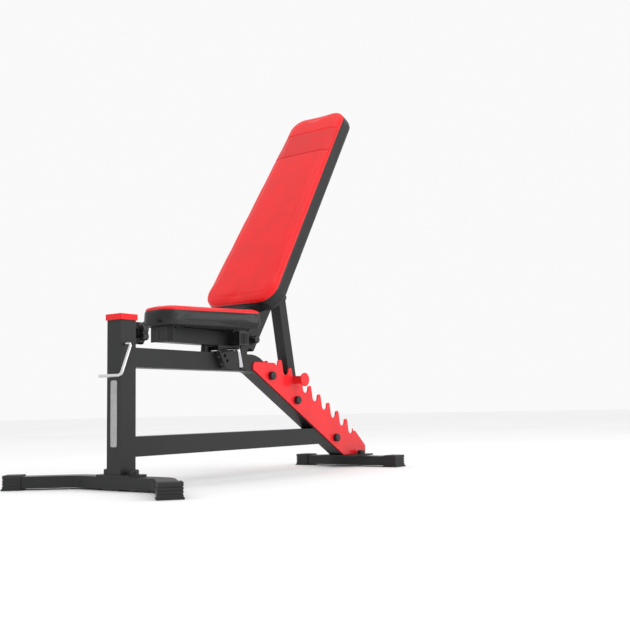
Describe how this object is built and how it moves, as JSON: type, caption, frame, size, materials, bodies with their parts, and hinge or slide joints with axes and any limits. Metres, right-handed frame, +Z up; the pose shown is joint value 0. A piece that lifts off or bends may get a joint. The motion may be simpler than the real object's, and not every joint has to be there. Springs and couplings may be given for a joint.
{
  "type": "adjustable weight bench",
  "caption": "Incline weight bench with a hinged padded seat and backrest, a strut that drops into a toothed ladder, and a front accessory post.",
  "frame": {"origin": "middle of the whole bench's footprint, on the floor", "axes": "+X towards the head end, +Y towards the right hand of a person sitting against the backrest, +Z up"},
  "size_m": [1.2286, 0.6376, 1.187],
  "materials": {
    "dark_powder_coat": "satin dark grey powder coat",
    "red_powder_coat": "glossy red powder coat",
    "red_collar": "glossy red moulded collar",
    "foot_cap_rubber": "ribbed black rubber",
    "black_plastic": "moulded black plastic",
    "chrome": "bright chrome plating",
    "black_steel": "black-coated steel fasteners",
    "zinc_steel": "zinc-plated steel",
    "black_board": "black-covered plywood",
    "red_vinyl": "glossy red vinyl face with black sides",
    "red_black_vinyl": "red vinyl top with black sides"
  },
  "bodies": {
    "frame": {"main_beam": "dark_powder_coat", "front_post": "dark_powder_coat", "post_collar": "red_collar", "lower_beam": "dark_powder_coat", "clamp_nut": "dark_powder_coat", "front_foot_bar": "dark_powder_coat", "front_leg_near": "dark_powder_coat", "front_leg_far": "dark_powder_coat", "front_foot_cap_near": "foot_cap_rubber", "front_foot_cap_far": "foot_cap_rubber", "rear_foot_bar": "dark_powder_coat", "rear_foot_cap_near": "foot_cap_rubber", "rear_foot_cap_far": "foot_cap_rubber", "foot_bolts": "zinc_steel", "front_flange_plate": "dark_powder_coat", "rear_flange_plate": "dark_powder_coat", "ladder_plate_near": "red_powder_coat", "ladder_plate_far": "red_powder_coat", "ladder_bolts": "zinc_steel", "frame_nuts": "zinc_steel", "frame_bolt_caps": "black_plastic", "hinge_bracket_near": "dark_powder_coat", "hinge_bracket_far": "dark_powder_coat", "backrest_hinge_bolt": "zinc_steel", "seat_hinge_bolt": "zinc_steel", "hinge_nuts": "zinc_steel", "hinge_bolt_caps": "black_plastic", "seat_bumper": "foot_cap_rubber"},
    "backrest": {"backrest_tube": "dark_powder_coat", "backrest_bushes": "black_plastic", "backrest_channel_lower": "dark_powder_coat", "backrest_channel_upper": "dark_powder_coat", "backrest_board": "black_board", "backrest_cushion": "red_vinyl", "backrest_tube_plugs": "black_plastic", "backrest_screws": "black_steel", "strut_ear_near": "dark_powder_coat", "strut_ear_far": "dark_powder_coat", "strut_bolt": "black_steel", "strut_nut": "black_steel"},
    "strut": {"strut_tube": "dark_powder_coat", "strut_bushes": "black_plastic", "strut_crossbar": "red_powder_coat", "crossbar_discs": "red_powder_coat"},
    "seat": {"seat_tube": "dark_powder_coat", "seat_cross_tube": "dark_powder_coat", "seat_front_plug": "black_plastic", "seat_cross_plugs": "black_plastic", "seat_front_angle": "dark_powder_coat", "seat_rear_plate": "dark_powder_coat", "seat_screws": "black_steel", "seat_board": "black_board", "seat_cushion": "red_black_vinyl", "seat_hinge_lugs": "dark_powder_coat", "seat_hinge_spacers": "black_plastic", "seat_adjust_bracket": "dark_powder_coat"},
    "seat_pin": {"seat_pin": "chrome"},
    "post_pin": {"post_pin": "chrome"},
    "clamp_knob": {"clamp_knob": "black_plastic", "clamp_screw": "zinc_steel"}
  },
  "joints": [
    {"name": "backrest_tilt", "type": "hinge", "parent": "frame", "child": "backrest", "pos_m": [0.01627, 0, 0.398], "axis": [0, -1, 0], "range_deg": [0, 16]},
    {"name": "strut_swing", "type": "hinge", "parent": "backrest", "child": "strut", "pos_m": [0.17427, 0, 0.538], "axis": [0, -1, 0], "range_deg": [-9, 0]},
    {"name": "seat_tilt", "type": "hinge", "parent": "frame", "child": "seat", "pos_m": [-0.02373, 0, 0.396], "axis": [0, 1, 0], "range_deg": [0, 20]},
    {"name": "seat_pin_pull", "type": "slide", "parent": "seat", "child": "seat_pin", "axis": [0, -1, 0], "range_m": [0, 0.075]},
    {"name": "post_pin_pull", "type": "slide", "parent": "frame", "child": "post_pin", "axis": [0, -1, 0], "range_m": [0, 0.06]},
    {"name": "clamp_knob_turn", "type": "hinge", "parent": "frame", "child": "clamp_knob", "pos_m": [-0.40373, 0, 0.395], "axis": [1, 0, 0], "continuous": true}
  ],
  "couplings": [
    {"joint": "strut_swing", "follows": "backrest_tilt", "ratio": -0.51}
  ]
}
